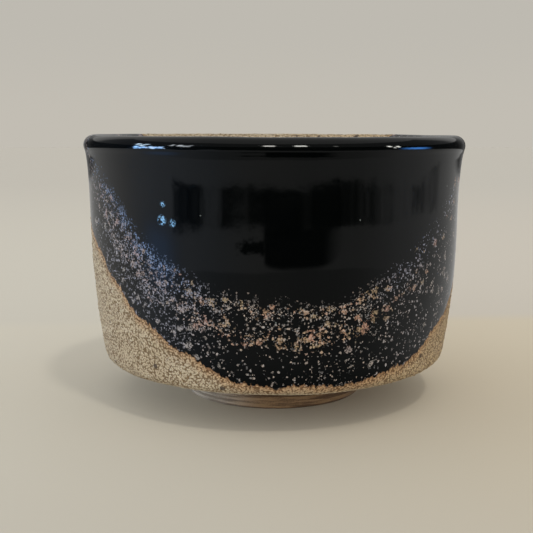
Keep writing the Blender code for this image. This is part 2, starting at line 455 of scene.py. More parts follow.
def thrown(turn, along, lift=0.0):
    """Points of the thrown surface: the outline carried round by turn, from -Y towards +X, and pushed out by
    lift, by lumps, and by rings, a sine of the distance. The height sways as a cosine of the turn, more
    towards the rim, and the radius as a cosine of twice the turn."""
    r = np.interp(along, ALONG, OUTLINE[:, 0])
    z = np.interp(along, ALONG, OUTLINE[:, 1])
    out_r = np.interp(along, ALONG, OUTWARD[:, 0])
    out_z = np.interp(along, ALONG, OUTWARD[:, 1])
    close, wide = RING_SPACINGS
    rings = np.sin(math.tau * along / close + turn) + 0.6 * np.sin(math.tau * along / wide - turn + 1)
    fade = np.clip((CREST - along) / (20 * MM), 0.15, 1)
    push = lift + SLOW_PUSH * read(SLOW, turn, along) + MIDDLE_PUSH * read(MIDDLE, turn, along)
    push = push + RING_PUSH * rings * fade
    r = r + out_r * push
    z = z + out_z * push
    z = z - RIM_SWAY * (z / HEIGHT) ** 3 * np.cos(turn - SWAY_BEARING)
    oval = 1 + OVAL * np.cos(2 * turn + OVAL_BEARING)
    return np.stack((r * oval * np.sin(turn), -r * oval * np.cos(turn), z), axis=-1)


# %% [markdown]
# ## What the glaze mirrors
#
# Black glaze has almost no colour of its own. What the eye sees on it is the room: a pale table, the dark
# shapes of furniture beyond its edge, something low and dark close in front, a window behind leaves, a patch
# of blue daylight, and a few small lamps that glint on the lip. Glowing screens stand round the bowl for
# that, painted with those shapes by bearing and height: painted reflections, which only reflections can see.

# %% Screens that only reflections see
RING_RADIUS, NEAR_RADIUS, MAT_RADIUS = 0.25, 0.11, 0.064
SCREEN_FOOT = 0.6 * MM
HALF_TURN = 180

# Tone of the room at table height, as (bearing in degrees from the front, brightness).
BRIGHTNESS_ROUND = (
    (-180, 0.50), (-150, 0.46), (-120, 0.46), (-95, 0.52), (-70, 0.56), (-50, 0.50), (-27, 0.38), (-8, 0.33),
    (15, 0.28), (44, 0.31), (70, 0.42), (95, 0.42), (113, 0.44), (135, 0.48), (180, 0.50),
)
COOL_SIDE, COOL_TINT, WARM_TINT = (-80, -20, 30), (0.93, 1.0, 1.08), (1.01, 1.0, 0.97)

# Dark wall of the room above the table's far side, and the ceiling over it, in millimetres of height.
DARK_WALL, DARK_WALL_DEPTH = (54, 146, 5), 0.95
CEILING, CEILING_TONE = (146, 400, 6), 0.15

# Furniture: bearings, height of its foot, how dark it is throughout, and how dark it is in patches.
DARK_SHAPES = (
    (-53, -37, 33.6, 0.75, 0.6), (-36, -27, 33.6, 0.0, 0.3), (-27.5, -19, 33.6, 0.9, 0.15),
    (-19, -13, 33.6, 0.75, 0.2), (-13, -4, 33.2, 1.0, 0.0), (-6, 13, 32.0, 1.0, 0.0),
    (12, 18, 33.0, 0.8, 0.1), (17, 34, 32.4, 1.0, 0.0), (32, 44, 34.0, 0.75, 0.3),
    (43, 56, 34.6, 0.35, 0.6), (54, 68, 36.4, -0.15, 0.8), (66, 78, 38.5, -0.1, 0.3),
    (80, 92, 41.0, 0.2, 0.7), (94, 103, 40.5, 0.2, 0.3),
)
SHAPE_TOP, SHAPE_DEPTH = 60, 0.97

# Lamps: bearings, heights, softness of their sides and ends, and light.
LAMPS = (
    (-6, -0.5, 168, 215, 1, 6, (18, 17.5, 16.5)), (9.5, 16, 168, 215, 1, 6, (21, 21, 19.5)),
    (31, 33, 160, 190, 1, 6, (3, 3, 2.8)), (60, 62.5, 124, 156, 1, 6, (26, 26, 24)),
    (66, 68, 112, 146, 1, 6, (26, 26, 24)), (63, 64.5, 90, 118, 1, 6, (16, 16, 15)),
    (71, 86, 56, 98, 12, 20, (1.0, 3.8, 11)),
)

# Groups of slivers of sky: bearings, heights, how many, and light.
SLIVERS = (
    (-79, -71, 95, 215, 8, (20, 26, 32)), (-77, -58, 54, 125, 18, (10, 19, 34)),
    (-70, -56, 54, 110, 8, (14, 20, 28)), (-57, -43, 120, 190, 9, (12, 13, 14)),
)
SLIVER_SEED = 31

# On the near screen, each as bearings and heights.
NEAR_DARK = (-4.5, 24.5, 35.5, 51.5)
NEAR_BLOT = (-14.4, -3, 43.4, 48.2)
GLOW = (-62, -43, 24, 52)
GLOW_SOFT = 16
GLOW_TINT = (0.8, 1.7, 3.4)
NEAR_DEPTH, GLOW_DEPTH = 0.96, 0.35
NEAR_DARK_MIDDLE = 44


def within(value, low, high, soft):
    """1 between low and high, 0 outside, with a smooth rise soft wide at both ends."""
    up = np.clip((value - low) / soft + 0.5, 0, 1)
    down = np.clip((high - value) / soft + 0.5, 0, 1)
    return up * up * (3 - 2 * up) * down * down * (3 - 2 * down)


def faded(paint, share, tint=0.0):
    """The paint where the share is 0, and a tint where it is 1."""
    return paint * (1 - share[..., None]) + share[..., None] * np.array(tint)


def room_tone(bearing):
    """Colour of the room at table height by bearing, in degrees from the front: cooler on the left."""
    level = np.interp(bearing, *zip(*BRIGHTNESS_ROUND))
    cool = within(bearing, *COOL_SIDE)[..., None]
    return level[..., None] * (cool * np.array(COOL_TINT) + (1 - cool) * np.array(WARM_TINT))


def ragged(bearing, height, climb):
    """Uneven shading, -0.5 to 0.5, of things in the room. climb says how fast it changes with height."""
    return np.clip(0.5 + 0.6 * read(FRAY, np.radians(0.45 * bearing), climb * height * MM), 0, 1) - 0.5


def window_light(bearing, height):
    """A window behind leaves: groups of slanting slivers of sky, of uneven length and strength."""
    chance = np.random.default_rng(SLIVER_SEED)
    light = np.zeros(bearing.shape + (3,))
    for left, right, low, high, count, colour in SLIVERS:
        for _ in range(count):
            middle, width = chance.uniform(left, right), chance.uniform(0.5, 1.6)
            bottom = chance.uniform(low, low + 0.6 * (high - low))
            top = chance.uniform(bottom, high)
            slanted = bearing + 0.03 * chance.uniform(-1, 1) * (height - bottom)
            sliver = within(slanted, middle - width, middle + width, 0.8) * within(height, bottom, top + 4, 6)
            light = np.maximum(light, (chance.uniform(0.3, 1.2) * sliver)[..., None] * np.array(colour))
    return light


def ring_paint(bearing, height):
    """Colour of the ring at each bearing and height in millimetres: room, furniture, lamps and window."""
    dark_wall = within(height, *DARK_WALL) * within(bearing, -150, 150, 60)
    paint = faded(room_tone(bearing), DARK_WALL_DEPTH * dark_wall)
    paint = faded(paint, within(height, *CEILING) * within(bearing, -122, 122, 14), CEILING_TONE)
    uneven = ragged(bearing, height, 5.0)
    for low, far, bottom, plain, patchy in DARK_SHAPES:
        shape = within(bearing + (2.2 + 3.0 * patchy) * uneven, low, far, 2.0)
        shape = shape * within(height + (0.5 + 1.3 * patchy) * uneven, bottom, SHAPE_TOP, 1.6)
        paint = faded(paint, SHAPE_DEPTH * np.clip(shape * (plain + patchy * (uneven + 0.5)), 0, 1))
    for low, far, bottom, top, side_soft, end_soft, light in LAMPS:
        shape = within(bearing, low, far, side_soft) * within(height, bottom, top, end_soft)
        paint = faded(paint, shape, light)
    return np.maximum(paint, window_light(bearing, height))


def mat_paint(bearing, radius):
    """Colour of the table as the glaze sees it: dimmer in front, and in the bowl's own shadow."""
    front = within(bearing, -48, 52, 50)
    shadow = 1 - 0.45 * within(radius, 0, 84, 30)
    return room_tone(bearing) * ((1 - 0.35 * front) * shadow)[..., None]


def near_paint(bearing, height):
    """Colour and cover of the near screen: a black block that narrows downwards, a black blot beside it, and
    a faint glow of blue daylight."""
    left, right, low, high = NEAR_DARK
    across = np.clip(np.abs(bearing - (left + right) / 2) / (right - left) * 2, 0, 1.2)
    side_soft = np.interp(bearing, (left, right), (1.2, 12))
    end_soft = np.where(height < NEAR_DARK_MIDDLE, 4, 1.5)
    block = within(bearing, left, right, side_soft) * within(height, low + 3 * across**4, high, end_soft)
    left, right, low, high = NEAR_BLOT
    rough = ragged(bearing, height, 1.6)
    blot = within(bearing + 3 * rough, left, right, 1.2) * within(height + 1.6 * rough, low, high, 0.7)
    glow = within(bearing, GLOW[0], GLOW[1], GLOW_SOFT) * within(height, GLOW[2], GLOW[3], GLOW_SOFT)
    cover = np.maximum(NEAR_DEPTH * np.maximum(block, blot), GLOW_DEPTH * glow)
    return glow[..., None] * room_tone(bearing) * np.array(GLOW_TINT), cover


def screen(name, points, paint, cover=None):
    """A sheet that only reflections see, from a grid of points and the light and cover at each of them."""
    rows, columns = points.shape[:2]
    i, j = np.arange(rows - 1)[:, None] * columns, np.arange(columns - 1)[None, :]
    faces = np.stack((i + j, i + j + 1, i + columns + j + 1, i + columns + j), axis=-1).reshape(-1, 4)
    mesh = bpy.data.meshes.new(name)
    mesh.from_pydata(points.reshape(-1, 3).tolist(), [], faces.tolist())
    light = mesh.attributes.new("light", "FLOAT_COLOR", "POINT")
    alpha = np.ones((rows, columns)) if cover is None else cover
    light.data.foreach_set("color", np.dstack((paint, alpha)).astype(np.float32).ravel())
    material, tree, shader = recipe(name)
    painted = node(tree, "ShaderNodeAttribute", attribute_name="light")
    fill(shader, {"Base Color": (0, 0, 0), "Specular IOR Level": 0.0, "Emission Strength": 1.0})
    put(shader.inputs["Emission Color"], painted.outputs["Color"])
    if cover is not None:
        put(shader.inputs["Alpha"], painted.outputs["Alpha"])
    material.cycles.emission_sampling = "NONE"
    mesh.materials.append(material)
    sheet = stand(name, mesh)
    sheet.visible_camera = sheet.visible_diffuse = sheet.visible_shadow = sheet.visible_transmission = False
    print(f"{name}: {len(faces)} faces, brightest {paint.max():.1f}")


def upright(radius, bearing, height):
    """Points at a radius, from grids of bearing in degrees and height in millimetres."""
    turn = np.radians(bearing)
    return np.stack((radius * np.sin(turn), -radius * np.cos(turn), height * MM), axis=-1)


def make_screens():
    """The far ring, its rows close at the foot of the furniture, the mat, and the near screen."""
    foot = SCREEN_FOOT / MM
    close_rows = np.arange(28, 46, 0.4)
    levels = np.concatenate((np.arange(foot, 28, 2), close_rows, np.arange(46, 240, 2), (260, 300)))
    bearing, height = np.meshgrid(np.arange(-HALF_TURN, HALF_TURN + 0.1, 0.5), levels)
    screen("mirrored_ring", upright(RING_RADIUS, bearing, height), ring_paint(bearing, height))

    radii = np.linspace(MAT_RADIUS, RING_RADIUS, 60)
    bearing, radius = np.meshgrid(np.arange(-HALF_TURN, HALF_TURN + 0.1, 2.0), radii)
    flat = upright(1.0, bearing, 0 * bearing) * radius[..., None] + np.array((0, 0, SCREEN_FOOT))
    screen("mirrored_mat", flat, mat_paint(bearing, radius / MM))

    bearing, height = np.meshgrid(np.arange(GLOW[0] - 12, 45, 0.5), np.arange(foot, 60, 0.5))
    screen("mirrored_near", upright(NEAR_RADIUS, bearing, height), *near_paint(bearing, height))


make_screens()

# %% [markdown]
# ## Where the two dips stopped
#
# A bowl pushed into the bath at a slant comes out with a line that sweeps low across the front and climbs to
# the rim on both sides. The first dip reached further round than the second. The lines are drawn through a
# few listed heights, and the first one is frayed by the sandy coat.

# %% The two lines
FIRST_LINE = (
    (-123, 82), (-109, 75.5), (-92, 65.5), (-74, 54.6), (-61, 47.2), (-48, 35.8), (-35, 27), (-22, 20.2),
    (-9, 15.2), (5, 14.3), (20, 14.3), (33, 15.7), (45, 19.2), (57, 25.6), (70, 32.5), (90, 46.5), (110, 66),
    (130, 82),
)
SECOND_LINE = (
    (-68, 82), (-60, 75), (-50, 67), (-40, 57), (-29, 49.6), (-16, 43.0), (-2, 40.2), (9, 39.6), (21, 41.5),
    (35, 48.3), (47, 56.3), (58, 65), (75, 82),
)
OUTSIDE = ALONG <= CREST
OVER_THE_LIP = 3.5
LEAST_CREAM = 0.8 * MM
COLUMNS = 720
TURNS = np.linspace(-math.pi, math.pi, COLUMNS, endpoint=False)


def through(knots, turn):
    """Height in metres at each turn on a line of cubics through (degrees, millimetres) knots, with the slope
    of its neighbours at each. Past the ends it climbs on with the slope it had."""
    at = np.radians([k[0] for k in knots])
    high = np.array([k[1] for k in knots]) * MM
    lean = np.gradient(high, at)
    i = np.clip(np.searchsorted(at, turn) - 1, 0, len(at) - 2)
    inner = cubic(turn, (at[i], high[i], lean[i]), (at[i + 1], high[i + 1], lean[i + 1]))
    before = high[0] + lean[0] * (turn - at[0])
    beyond = high[-1] + lean[-1] * (turn - at[-1])
    return np.where(turn < at[0], before, np.where(turn > at[-1], beyond, inner))


def along_at(height):
    """Distance along the outline of a height on the outer wall. Past the crest it runs on over the lip."""
    on_wall = np.interp(height, OUTLINE[OUTSIDE, 1], ALONG[OUTSIDE])
    return np.where(height > HEIGHT, CREST + OVER_THE_LIP * (height - HEIGHT), on_wall)


def frayed(along, middle, fray):
    """A line along the outline at every turn, moved by the middle lumps and by the fray, in millimetres."""
    return along + (middle * MM * read(MIDDLE, TURNS, along) + fray * MM * read(FRAY, TURNS, along))


END = frayed(COATS_END, 0.30, 0.12)
first_height = through(FIRST_LINE, TURNS)
FIRST = np.clip(frayed(along_at(first_height), 0.5, 0.32), LEAST_CREAM, END)
SECOND = np.clip(np.maximum(along_at(through(SECOND_LINE, TURNS)), FIRST), 0, END)
print(f"first line from {first_height.min() / MM:.1f} mm up, over {np.mean(FIRST < END):.0%} of the rim")

# %% [markdown]
# ## Where the flecks gather
#
# Below the second dip pale crystals float in the thin dark coat. Fine ones crowd along the line, then come
# pinker and broader ones in two rows, and below them fewer and fewer. On the left they stay thick all the way
# down, and are lilac: partly their own tint, and partly painted cool light of the window. Each sort has a
# cover, the share of the ground that it takes.

# %% Cover of the flecks

# Each rule is a row of (millimetres below the line, cover): one for the middle, the left and the right.
FINE_RULES = (
    (
        (-0.6, 0.0), (0.3, 0.04), (2, 0.09), (3.4, 0.18), (6, 0.19), (7.5, 0.10), (12, 0.11), (15, 0.045),
        (45, 0.03),
    ),
    ((-0.6, 0.0), (0.5, 0.16), (4, 0.29), (13, 0.29), (18, 0.17), (23, 0.08), (45, 0.04)),
    ((-0.6, 0.0), (0.5, 0.05), (4, 0.13), (12, 0.10), (20, 0.07), (45, 0.07)),
)
BROAD_RULES = (
    (
        (2.2, 0.0), (3.4, 0.12), (5.4, 0.13), (6.8, 0.02), (9.2, 0.02), (10.4, 0.24), (13.2, 0.22),
        (15.0, 0.03), (45, 0.025),
    ),
    ((1.5, 0.0), (4.0, 0.06), (8.0, 0.13), (15.0, 0.13), (19.0, 0.05), (45, 0.02)),
    ((2.0, 0.0), (5.0, 0.06), (12.0, 0.06), (20.0, 0.03), (45, 0.02)),
)
FAR_LEFT, FAR_RIGHT = (-200, -56, 20), (46, 200, 20)
FAR_LEFT_LOSS, FAR_RIGHT_LOSS = 0.76, 0.58
RIGHT_LILAC = 0.45


def cover_by(rules, shares, below):
    """Cover at a distance below the line: what each rule says, times the share that its side has there."""
    return sum(np.interp(below, *zip(*rule)) * share for rule, share in zip(rules, shares))


def fleck_marks(turn, along, below):
    """The covers of fine and broad flecks, and how lilac they are, from the bearing and the distance below
    the line. The rows sway with the lumps, and near the line they follow it."""
    degrees = np.degrees(turn)
    left = within(degrees, -200, -22, 24)
    right = within(degrees, 34, 200, 24)
    shares = (1 - left - right, left, right)
    lumpy = 0.9 * read(MIDDLE, turn, along) + 0.4 * read(FRAY, turn, along)
    sway = below + lumpy * np.clip(below / 6, 0.15, 1)
    thinned = 1 - FAR_LEFT_LOSS * within(degrees, *FAR_LEFT) - FAR_RIGHT_LOSS * within(degrees, *FAR_RIGHT)
    return {
        "fine_cover": cover_by(FINE_RULES, shares, sway) * thinned * np.clip(below + 0.8, 0, 1),
        "broad_cover": cover_by(BROAD_RULES, shares, sway),
        # Lilac: the flecks' own tint, and stronger on the left as painted cool light of the window.
        "lilac": left + RIGHT_LILAC * within(degrees, 30, 200, 16),
    }


# %% [markdown]
# ## One way to build every coat
#
# Each coat is a closed skin: a fine grid on the finished surface, a coarse one under it, and edges between.
# Its columns run round the bowl and its rows from its lower line to its upper line, so two coats that meet
# share the very same points. Each point also remembers how far it is from the two dip lines, in
# millimetres, which is what the glazes are painted by.

# %% The coat builder
COAT_DEPTH = 0.8 * MM
ROWS_PER_UNDER_ROW = 6
THINNEST = 1e-7
WELD, SLIVER_EDGE = 0.001 * MM, 0.0005 * MM
SHARP_ANGLE = math.radians(40)


def mesh_piece(name, points, faces, marks, material):
    """A smooth mesh object, welded where points coincide, with one number per point for each mark."""
    mesh = bpy.data.meshes.new(name)
    mesh.from_pydata(points.tolist(), [], faces.tolist())
    for mark, values in marks.items():
        mesh.attributes.new(mark, "FLOAT", "POINT").data.foreach_set("value", values.astype(np.float32))
    bm = bmesh.new()
    bm.from_mesh(mesh)
    bmesh.ops.remove_doubles(bm, verts=bm.verts, dist=WELD)
    bmesh.ops.dissolve_degenerate(bm, edges=bm.edges, dist=SLIVER_EDGE)
    bm.to_mesh(mesh)
    bm.free()
    mesh.shade_smooth()
    mesh.set_sharp_from_angle(angle=SHARP_ANGLE)
    mesh.materials.append(material)
    print(f"{name}: {len(mesh.polygons)} faces")
    return stand(name, mesh)


def grid_faces(rows, columns, ring):
    """Four-sided faces of a grid whose rows close on themselves, and whose columns do too in a ring."""
    i = np.arange(rows)[:, None]
    j = np.arange(columns if ring else columns - 1)[None, :]
    a = i * columns + j
    b = i * columns + (j + 1) % columns
    c = (i + 1) % rows * columns + (j + 1) % columns
    d = (i + 1) % rows * columns + j
    return np.stack((a, b, c, d), axis=-1).reshape(-1, 4)


def coat(name, low, high, rows, lift, material, over_black=None):
    """A closed coat between two lines along the outline, one value of each per column. lift(turn, along) is
    how far its outer side stands off the finished surface. Columns where the lines meet are left out.
    over_black(along, columns), if given, stands in for the distance past the first line."""
    wide = high - low > THINNEST
    ring = bool(wide.all())
    used = np.flatnonzero(wide)
    keep = np.arange(COLUMNS) if ring else np.arange(used[0] - 1, used[-1] + 2)
    turn, low, high = TURNS[keep][None, :], low[keep][None, :], high[keep][None, :]
    up = np.linspace(0, 1, rows + 1)[:, None]
    down = np.linspace(1, 0, rows // ROWS_PER_UNDER_ROW + 1)[:, None]
    over = low + (high - low) * up
    under = low + (high - low) * down
    skin = thrown(turn, over, lift(turn, over))
    back = thrown(turn, under, -COAT_DEPTH)
    points = np.concatenate((skin, back)).reshape(-1, 3)
    along = np.concatenate((over, under))
    first = (along - FIRST[keep] if over_black is None else over_black(along, keep)) / MM
    second = (SECOND[keep][None, :] - along) / MM
    marks = {"mm_over_first": first, "mm_under_second": second, "mm_up": along / MM}
    marks.update(fleck_marks(turn, along, second))
    marks = {mark: np.broadcast_to(values, along.shape).ravel() for mark, values in marks.items()}
    return mesh_piece(name, points, grid_faces(len(along), along.shape[1], ring), marks, material)


# %% [markdown]
# ## The sandy cream coat
#
# A dry ash glaze over gritty clay: rounded cream grains well under a millimetre wide, a net of brown recesses
# between them, toasted orange next to the dark glaze, and a few iron spots. The distance to the nearest of
# a scatter of points is least on a grain and greatest in the net. Noise first pushes the place about, so
# that no grain is round.

# %% Sandy cream glaze
CREAM_LIGHT, CREAM_DEEP = tone(184, 172, 150), tone(176, 159, 130)
# The warm cream is a painted tint of the warm light on the right; the toasted ones are the coat's own colour
# next to the dark glaze.
CREAM_WARM_LIT, CREAM_TOASTED = tone(174, 150, 112), tone(174, 138, 98)
RECESS, RECESS_TOASTED = tone(112, 92, 66), tone(98, 70, 42)
# The pale cream of the painted highlight along the coat's bottom edge, and the iron of the spots.
HIGHLIGHT_CREAM, IRON = tone(214, 203, 180), tone(58, 44, 36)
GRAIN, GRAIN_PUSH, SAND, PATCH, CLOUD = 0.62 * MM, 0.16 * MM, 0.32 * MM, 3.4 * MM, 13 * MM
HALF_OPEN = 0.52


def pushed(tree, place, size, amount):
    """The place moved about by cloudy noise of a size, by up to about amount metres."""
    centred = vector(tree, "SUBTRACT", noise(tree, place, size, 2, 0.5, colour=True), (0.5, 0.5, 0.5))
    return vector(tree, "MULTIPLY_ADD", centred, (4 * amount,) * 3, place)


def scatter(tree, place, spacing):
    """Distance to the nearest of random points, as a share of their spacing, and that point's dice."""
    cells = node(tree, "ShaderNodeTexVoronoi", {"Vector": place, "Scale": 1 / spacing}).outputs
    return cells["Distance"], node(tree, "ShaderNodeSeparateColor", {0: cells["Color"]}).outputs


def dotted(tree, colour, place, marked, share, paint):
    """The colour with a soft dot of paint round each (point, radius)."""
    for point, radius in marked:
        away = vector(tree, "DISTANCE", place, tuple(point), output="Value")
        inside = step_down(tree, away, 0.6 * radius, 1.15 * radius)
        colour = blend(tree, times(tree, inside, share), colour, paint)
    return colour


def sandy_cream(name, rough_relief, packed, iron_spots=()):
    """The cream coat. rough_relief is how far its grains stand, packed how far they close over the net
    between them, from 0 to 1, and iron_spots are (point, radius) of its dark spots."""
    material, tree, shader = recipe(name)
    place = object_place(tree)
    over = attribute(tree, "mm_over_first")
    up = attribute(tree, "mm_up")
    cells = node(
        tree,
        "ShaderNodeTexVoronoi",
        {"Vector": pushed(tree, place, 0.6 * MM, GRAIN_PUSH), "Scale": 1 / GRAIN, "Smoothness": 0.25},
        feature="SMOOTH_F1",
    )
    grain = step_down(tree, cells.outputs["Distance"], 0.26, 0.80)
    fine = noise(tree, place, SAND, 3, 0.6)
    broad = noise(tree, place, PATCH, 2)
    near_black = step_up(tree, scaled(tree, broad, 3.0, over), -2.5, 2.0)
    cream = blend(tree, noise(tree, place, CLOUD, 2), CREAM_LIGHT, CREAM_DEEP)
    # Warmer towards the right: a painted tint of the warm light from that side.
    right = step_up(tree, xyz(tree, place)[0], -0.01, 0.045)
    cream = blend(tree, times(tree, right, 0.7), cream, CREAM_WARM_LIT)
    cream = blend(tree, times(tree, near_black, 0.8), cream, CREAM_TOASTED)
    recess = blend(tree, near_black, RECESS, RECESS_TOASTED)
    openness = scaled(tree, broad, 0.55, packed - HALF_OPEN)
    share = calc(tree, "ADD", grain, scaled(tree, fine, 0.5, openness))
    colour = blend(tree, step_up(tree, share, 0.05, 0.95), recess, cream)
    # Painted highlight: a lighter band along the coat's bottom edge, where the lower corner turns under.
    lower_edge_highlight = step_down(tree, scaled(tree, fine, -0.6, up), 0.9, 1.9)
    colour = blend(tree, times(tree, lower_edge_highlight, 0.8), colour, HIGHLIGHT_CREAM)
    colour = dotted(tree, colour, place, iron_spots, 0.85, IRON)
    matt = scaled(tree, grain, -0.15, 0.75)
    fill(shader, {"Base Color": colour, "Roughness": matt, "Specular IOR Level": 0.35})
    relief(tree, shader, scaled(tree, fine, 0.35, grain), 1.0, rough_relief)
    return material


# %% [markdown]
# ## The dark glaze and its flecks
#
# Where the second dip covers the first, the glaze is thick, black and as smooth as wet stone. The flecks
# below it come in three sizes: dust, grit and blooms. Each is a ball round one of a scatter of points, cut
# by the surface, and the cover says in how many of the cells there is one. The place is pushed about first,
# so every edge is frayed. Dust is grey to lilac. Blooms are pink and khaki, mottled with the black below.

# %% Dark glaze
# The blue-black, the blue fleck colour and the crystal blue below paint the cool window's reflection and
# glints; the lilac is partly that light; the rest are the glaze's own colours.
GLAZE_BLACK, GLAZE_WINDOW_REFLECTION, THIN_BROWN = tone(2, 3, 3), tone(3, 5, 8), tone(130, 98, 70)
FLECK_GREY, FLECK_SAND, FLECK_LILAC = tone(164, 164, 166), tone(174, 158, 146), tone(140, 142, 158)
FLECK_PINK, FLECK_KHAKI, FLECK_WINDOW_BLUE = tone(190, 146, 126), tone(172, 150, 116), tone(112, 132, 168)
PINPRICK, GLINT_BLUE = tone(92, 98, 96), tone(120, 170, 215)

# Size, fray and offset of each sort of fleck, so that no two sorts share their points.
DUST = (0.52 * MM, 0.16 * MM, 0.0)
GRIT_FLECK = (0.84 * MM, 0.28 * MM, 0.31)
BLOOM = (2.1 * MM, 0.60 * MM, 0.57)
BALL_SHARE = 0.36
PINPRICK_SPACING, PINPRICK_RADIUS, PINPRICK_SHARE = 2.5 * MM, (0.0896, 0.128), 0.05
LIP_FOOT = (70.0, 74.0)


def crystals(tree, place, sort, cover):
    """Flecks of a sort over a share of the ground, and a random number for each."""
    size, fray, offset = sort
    moved = vector(tree, "ADD", pushed(tree, place, 0.5 * size, fray), (offset,) * 3)
    away, dice = scatter(tree, moved, size)
    away = scaled(tree, dice[1], 0.16, away)
    chosen = calc(tree, "LESS_THAN", dice[0], calc(tree, "DIVIDE", cover, BALL_SHARE))
    return times(tree, step_down(tree, away, 0.46, 0.57), chosen), dice[2]


def dark_glaze(name, glints_at):
    """The dark coat: black, with flecks by the marks on the mesh, brown where it thins out, a few pale
    pinpricks, and painted blue glints of window light at (point, radius)."""
    material, tree, shader = recipe(name)
    place = object_place(tree)
    lilac, below = attribute(tree, "lilac"), attribute(tree, "mm_under_second")

    gather = step_up(tree, noise(tree, place, 2.2 * MM, 2), 0.38, 0.62)
    fine_cover = times(tree, attribute(tree, "fine_cover"), scaled(tree, gather, 1.45, 0.18))
    broad_cover = attribute(tree, "broad_cover")
    grit_cover = scaled(tree, broad_cover, 0.5, times(tree, fine_cover, 0.4))
    dust, dust_dice = crystals(tree, place, DUST, fine_cover)
    grit, grit_dice = crystals(tree, place, GRIT_FLECK, grit_cover)
    bloom, bloom_dice = crystals(tree, place, BLOOM, broad_cover)

    # Painted reflection of the cool window on the left: just below the second line the black and the pale
    # flecks turn blue.
    window = times(tree, lilac, step_down(tree, below, 4.0, 14.0))
    pale = blend(tree, dust_dice, FLECK_GREY, FLECK_SAND)
    # Lilac flecks: partly their own tint, partly painted window light.
    pale = blend(tree, times(tree, lilac, 0.85), pale, FLECK_LILAC)
    pale = blend(tree, window, pale, FLECK_WINDOW_BLUE)
    pink = blend(tree, bloom_dice, FLECK_PINK, FLECK_KHAKI)
    pink = blend(tree, times(tree, lilac, 0.5), pink, FLECK_LILAC)
    rosy = blend(tree, times(tree, step_up(tree, broad_cover, 0.04, 0.12), 0.8), pale, pink)
    pink = blend(tree, times(tree, step_up(tree, below, 14.0, 17.0), 0.7), pink, FLECK_GREY)

    deep = step_up(tree, below, 0.5, 4.5)
    dust_light = scaled(tree, dust_dice, 0.66, 0.20)
    dust_light = times(tree, dust_light, scaled(tree, deep, 0.58, 0.42))
    grit_light = times(tree, scaled(tree, grit_dice, 0.55, 0.25), deep)
    mottle = step_up(tree, noise(tree, place, 0.42 * MM, 2, 0.6), 0.40, 0.60)
    bloom_light = scaled(tree, mottle, 0.64, 0.04)
    colour = blend(tree, window, GLAZE_BLACK, GLAZE_WINDOW_REFLECTION)
    colour = blend(tree, times(tree, bloom, bloom_light), colour, pink)
    colour = blend(tree, times(tree, grit, grit_light), colour, rosy)
    colour = blend(tree, times(tree, dust, dust_light), colour, pale)

    under_lip = step_down(tree, attribute(tree, "mm_up"), *LIP_FOOT)
    away, dice = scatter(tree, place, PINPRICK_SPACING)
    chosen = calc(tree, "LESS_THAN", dice[0], PINPRICK_SHARE)
    pinprick = times(tree, step_down(tree, away, *PINPRICK_RADIUS), chosen, under_lip)
    colour = blend(tree, pinprick, colour, PINPRICK)
    # Painted blue glints of window light on a few crystals.
    jagged = step_up(tree, noise(tree, place, 0.6 * MM, 3, 0.7), 0.48, 0.55)
    colour = dotted(tree, colour, place, glints_at, jagged, GLINT_BLUE)

    fray = times(tree, noise(tree, place, 0.9 * MM, 3, 0.6), 2.4)
    thin = step_down(tree, calc(tree, "SUBTRACT", attribute(tree, "mm_over_first"), fray), -1.15, -0.65)
    colour = blend(tree, thin, colour, THIN_BROWN)
    raised = calc(tree, "MAXIMUM", calc(tree, "MAXIMUM", dust, grit), bloom)
    matt = scaled(tree, thin, 0.45, scaled(tree, raised, 0.16, 0.055))
    fill(shader, {"Base Color": colour, "Roughness": matt, "IOR": 1.4})
    skin = noise(tree, place, 4.0 * MM, 2)
    relief(tree, shader, scaled(tree, raised, 0.25, skin), 0.25, 0.04 * MM)
    return material


# %% [markdown]
# ## Bare clay
#
# The foot and the underside were left bare, and trimmed with a metal loop while the bowl spun upside down.
# The tool leaves fine rings, so the grain of this surface runs round and round.

# %% Bare turned clay
# Lit and shaded clay: lighter and greyer on the left in the low light from that side, darker and browner
# where the bowl shades the foot.
CLAY_LIT, CLAY_SHADED = tone(158, 152, 142), tone(120, 95, 66)
GROOVE_LIT, GROOVE_SHADED = tone(112, 104, 94), tone(76, 54, 32)
RING_STRETCH = 0.06


def turned_clay(name):
    """Bare stoneware in fine rings: its noise is read at a place that hardly changes along a ring."""
    material, tree, shader = recipe(name)
    place = object_place(tree)
    x, y, z = xyz(tree, place)
    flat = node(tree, "ShaderNodeCombineXYZ", {0: x, 1: y}).outputs[0]
    radius = vector(tree, "LENGTH", flat, output="Value")
    outward = scaled(tree, radius, 1.0, times(tree, y, RING_STRETCH))
    sideways = times(tree, x, RING_STRETCH)
    turning = node(tree, "ShaderNodeCombineXYZ", {0: sideways, 1: outward, 2: z}).outputs[0]
    rings = noise(tree, turning, 0.75 * MM, 3, 0.6)
    grit = noise(tree, place, 0.4 * MM, 3, 0.7)
    # Painted light and shade across the foot: lit on the left, shaded from the middle on, under the bowl.
    across = step_up(tree, x, -0.024, -0.002)
    light = blend(tree, across, CLAY_LIT, CLAY_SHADED)
    dark = blend(tree, across, GROOVE_LIT, GROOVE_SHADED)
    mix = step_up(tree, calc(tree, "ADD", rings, scaled(tree, grit, 0.3, -0.15)), 0.38, 0.62)
    fill(shader, {"Base Color": blend(tree, mix, dark, light), "Roughness": 0.82})
    relief(tree, shader, scaled(tree, grit, 0.4, rings), 0.6, 0.2 * MM)
    return material


# %% [markdown]
# ## The coats
#
# The cream coat is rough, so its outer side is lifted by grit. The dark coat stands off a little more, and
# thins out at its frayed edge.

# %% What each coat is made of

